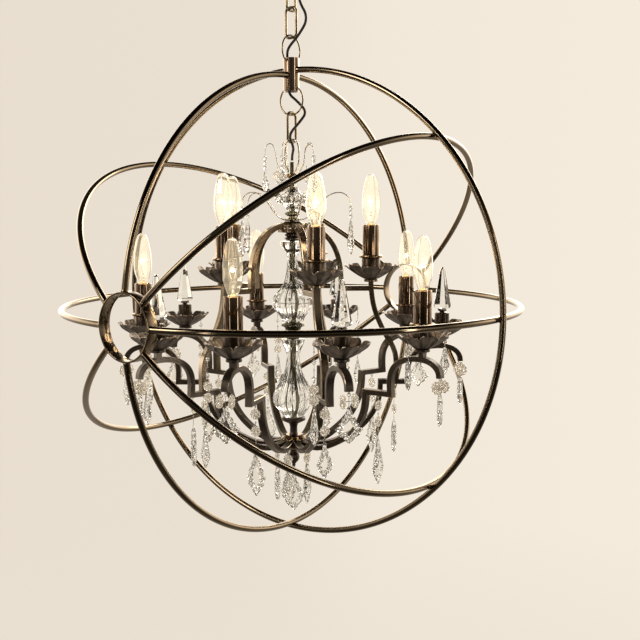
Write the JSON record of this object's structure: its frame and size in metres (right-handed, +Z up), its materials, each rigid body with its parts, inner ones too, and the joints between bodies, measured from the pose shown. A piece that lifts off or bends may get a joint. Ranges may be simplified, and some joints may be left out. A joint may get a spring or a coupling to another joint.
{
  "type": "orb chandelier",
  "caption": "Orb chandelier: crystal candle chandelier with two tiers of arms, hung by a chain link inside a sphere of thin bronze rings, under a short chain and a round ceiling canopy",
  "frame": {"origin": "on the ceiling plane, over the orb's axis", "axes": "+Z up, -Y towards the orb's front pole, +X to its right; the picture's camera stands at azimuth -52 degrees"},
  "size_m": [0.8284, 0.8052, 1.0391],
  "materials": {
    "bronze": "polished dark bronze with warm reflections",
    "dark_iron": "dark bronze paint, satin",
    "bright_metal": "bright plated wire and tube",
    "steel": "zinc plated steel",
    "crystal": "clear cut crystal",
    "lamp_glass": "clear lamp glass, lit",
    "cord": "black flexible lamp cord",
    "bush": "black plastic bush"
  },
  "bodies": {
    "ceiling_mount": {"ceiling_bracket": "steel", "canopy": "bronze", "canopy_collar": "bronze", "canopy_loop": "dark_iron", "cord_bushing": "bush"},
    "upper_link": {"chain_link_upper": "dark_iron"},
    "lower_link": {"chain_link_lower": "dark_iron", "upper_cord": "cord"},
    "orb": {"hub_sleeve": "bronze", "hub_rings": "dark_iron", "pole_collars": "bronze", "cross_ring": "bronze", "meridian_top": "bronze", "meridian_upper_right": "bronze", "meridian_right": "bronze", "meridian_lower_right": "bronze", "meridian_bottom": "bronze", "meridian_lower_left": "bronze", "meridian_left": "bronze", "meridian_upper_left": "bronze"},
    "hanger_link": {"inner_link": "dark_iron", "lower_cord": "cord"},
    "chandelier": {"base_disc": "bronze", "beaded_collar": "bronze", "bottom_finial": "bronze", "candle_sleeves": "bronze", "centre_rod": "bright_metal", "column_loop": "bright_metal", "crown_crystals": "crystal", "crown_disc": "bronze", "crown_wires": "bright_metal", "crystal_spikes": "crystal", "crystal_vase": "crystal", "drip_rings": "bronze", "gallery_discs": "bronze", "inner_strings": "crystal", "lamp_caps": "bright_metal", "lamp_glasses": "lamp_glass", "lampholders": "bronze", "lower_arm_hub": "bronze", "lower_arms": "dark_iron", "lower_baluster": "crystal", "metal_spool": "bronze", "petal_cups": "dark_iron", "risers": "dark_iron", "spike_holders": "bronze", "upper_arm_hub": "bronze", "upper_arms": "dark_iron", "upper_baluster": "crystal"},
    "crystal_1": {"pendant_1": "crystal"},
    "crystal_2": {"pendant_2": "crystal"},
    "crystal_3": {"pendant_3": "crystal"},
    "crystal_4": {"pendant_4": "crystal"},
    "crystal_5": {"pendant_5": "crystal"},
    "crystal_6": {"pendant_6": "crystal"},
    "crystal_7": {"pendant_7": "crystal"},
    "crystal_8": {"pendant_8": "crystal"},
    "crystal_9": {"pendant_9": "crystal"},
    "crystal_10": {"pendant_10": "crystal"},
    "centre_crystal": {"centre_pendant": "crystal"}
  },
  "joints": [
    {"name": "chain_top_swing", "type": "hinge", "parent": "ceiling_mount", "child": "upper_link", "pos_m": [0, 0, -0.0699], "axis": [1, 0, 0], "range_deg": [-5, 5]},
    {"name": "chain_middle_swing", "type": "hinge", "parent": "upper_link", "child": "lower_link", "pos_m": [0, 0, -0.1156], "axis": [0, 1, 0], "range_deg": [-4, 4]},
    {"name": "orb_swing", "type": "hinge", "parent": "lower_link", "child": "orb", "pos_m": [0, 0, -0.1613], "axis": [1, 0, 0], "range_deg": [-3, 3]},
    {"name": "hanger_link_swing", "type": "hinge", "parent": "orb", "child": "hanger_link", "pos_m": [0, 0, -0.29255], "axis": [1, 0, 0], "range_deg": [-2.5, 2.5]},
    {"name": "chandelier_swing", "type": "hinge", "parent": "hanger_link", "child": "chandelier", "pos_m": [0, 0, -0.33915], "axis": [0, 1, 0], "range_deg": [-2.5, 2.5]},
    {"name": "pendant_1_swing", "type": "hinge", "parent": "chandelier", "child": "crystal_1", "pos_m": [0.3006, 0, -0.7316], "axis": [1, 0, 0], "range_deg": [-12, 12]},
    {"name": "pendant_2_swing", "type": "hinge", "parent": "chandelier", "child": "crystal_2", "pos_m": [0.24319, 0.17669, -0.7316], "axis": [0.809, 0.5878, 0], "range_deg": [-12, 12]},
    {"name": "pendant_3_swing", "type": "hinge", "parent": "chandelier", "child": "crystal_3", "pos_m": [0.09289, 0.28589, -0.7316], "axis": [0.309, 0.9511, 0], "range_deg": [-12, 12]},
    {"name": "pendant_4_swing", "type": "hinge", "parent": "chandelier", "child": "crystal_4", "pos_m": [-0.09289, 0.28589, -0.7316], "axis": [-0.309, 0.9511, 0], "range_deg": [-12, 12]},
    {"name": "pendant_5_swing", "type": "hinge", "parent": "chandelier", "child": "crystal_5", "pos_m": [-0.24319, 0.17669, -0.7316], "axis": [-0.809, 0.5878, 0], "range_deg": [-12, 12]},
    {"name": "pendant_6_swing", "type": "hinge", "parent": "chandelier", "child": "crystal_6", "pos_m": [-0.3006, 0, -0.7316], "axis": [-1, 0, 0], "range_deg": [-12, 12]},
    {"name": "pendant_7_swing", "type": "hinge", "parent": "chandelier", "child": "crystal_7", "pos_m": [-0.24319, -0.17669, -0.7316], "axis": [-0.809, -0.5878, 0], "range_deg": [-12, 12]},
    {"name": "pendant_8_swing", "type": "hinge", "parent": "chandelier", "child": "crystal_8", "pos_m": [-0.09289, -0.28589, -0.7316], "axis": [-0.309, -0.9511, 0], "range_deg": [-12, 12]},
    {"name": "pendant_9_swing", "type": "hinge", "parent": "chandelier", "child": "crystal_9", "pos_m": [0.09289, -0.28589, -0.7316], "axis": [0.309, -0.9511, 0], "range_deg": [-12, 12]},
    {"name": "pendant_10_swing", "type": "hinge", "parent": "chandelier", "child": "crystal_10", "pos_m": [0.24319, -0.17669, -0.7316], "axis": [0.809, -0.5878, 0], "range_deg": [-12, 12]},
    {"name": "centre_pendant_swing", "type": "hinge", "parent": "chandelier", "child": "centre_crystal", "pos_m": [0, 0, -0.9256], "axis": [1, 0, 0], "range_deg": [-5, 5]}
  ]
}
